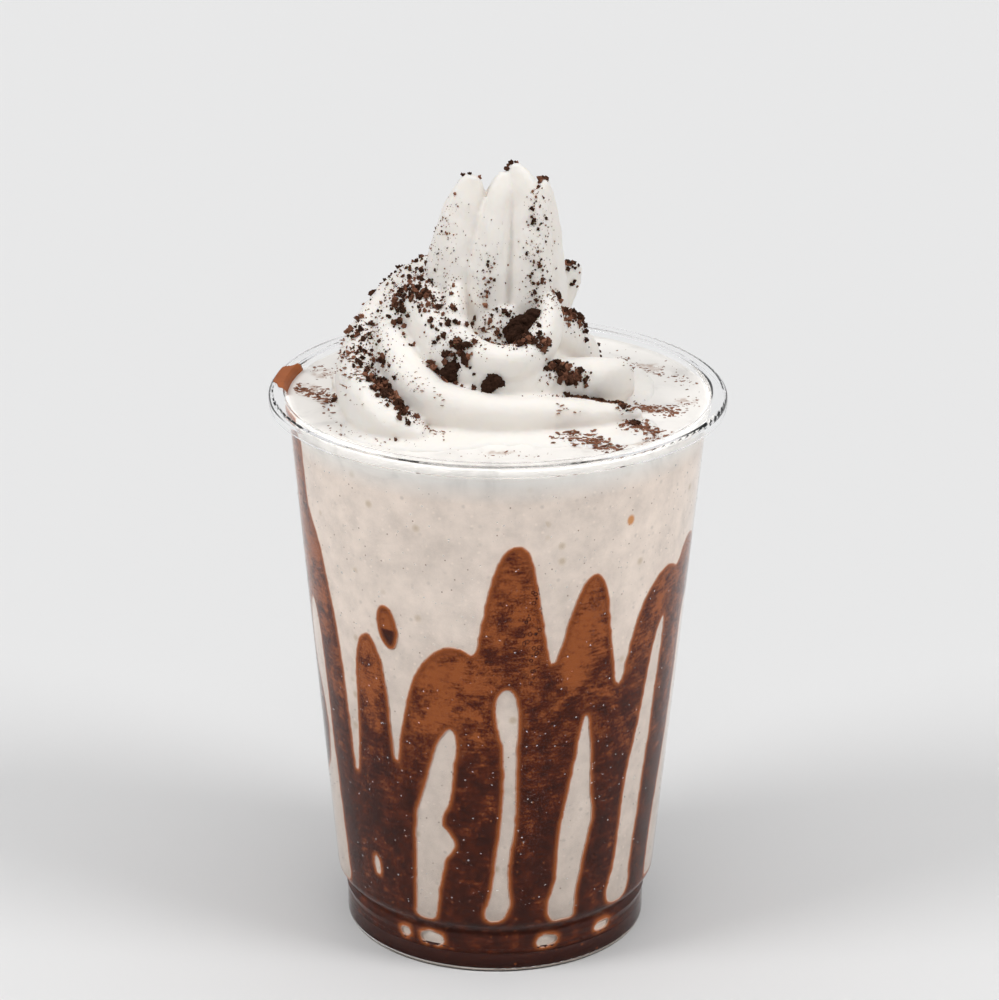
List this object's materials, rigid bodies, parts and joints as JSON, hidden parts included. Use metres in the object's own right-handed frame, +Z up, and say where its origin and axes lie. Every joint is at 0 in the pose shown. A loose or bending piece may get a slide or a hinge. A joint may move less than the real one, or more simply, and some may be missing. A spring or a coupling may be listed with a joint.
{
  "type": "frappe",
  "caption": "Blended frappe in a clear disposable tumbler, with chocolate sauce run down inside the wall, piped whipped cream on top and cookie crumbs",
  "frame": {"origin": "centre of the foot ring, in the plane that the tumbler stands on", "axes": "+Z up along the tumbler's axis; -Y is the front, where the tallest tongue of sauce is; +X to the right"},
  "size_m": [0.098, 0.098, 0.1728],
  "materials": {
    "tumbler": "clear, glossy",
    "milkshake": "opaque liquid, fine bubbles and specks",
    "sauce": "glossy syrup, amber where thin",
    "cream": "soft satin",
    "cookie": "rough, crumbly"
  },
  "bodies": {
    "root": {"tumbler": "tumbler", "milkshake": "milkshake", "chocolate_sauce": "sauce", "sauce_droplet": "sauce", "whipped_cream": "cream", "cookie_piece_1": "cookie", "cookie_piece_2": "cookie", "cookie_piece_3": "cookie"}
  },
  "joints": []
}
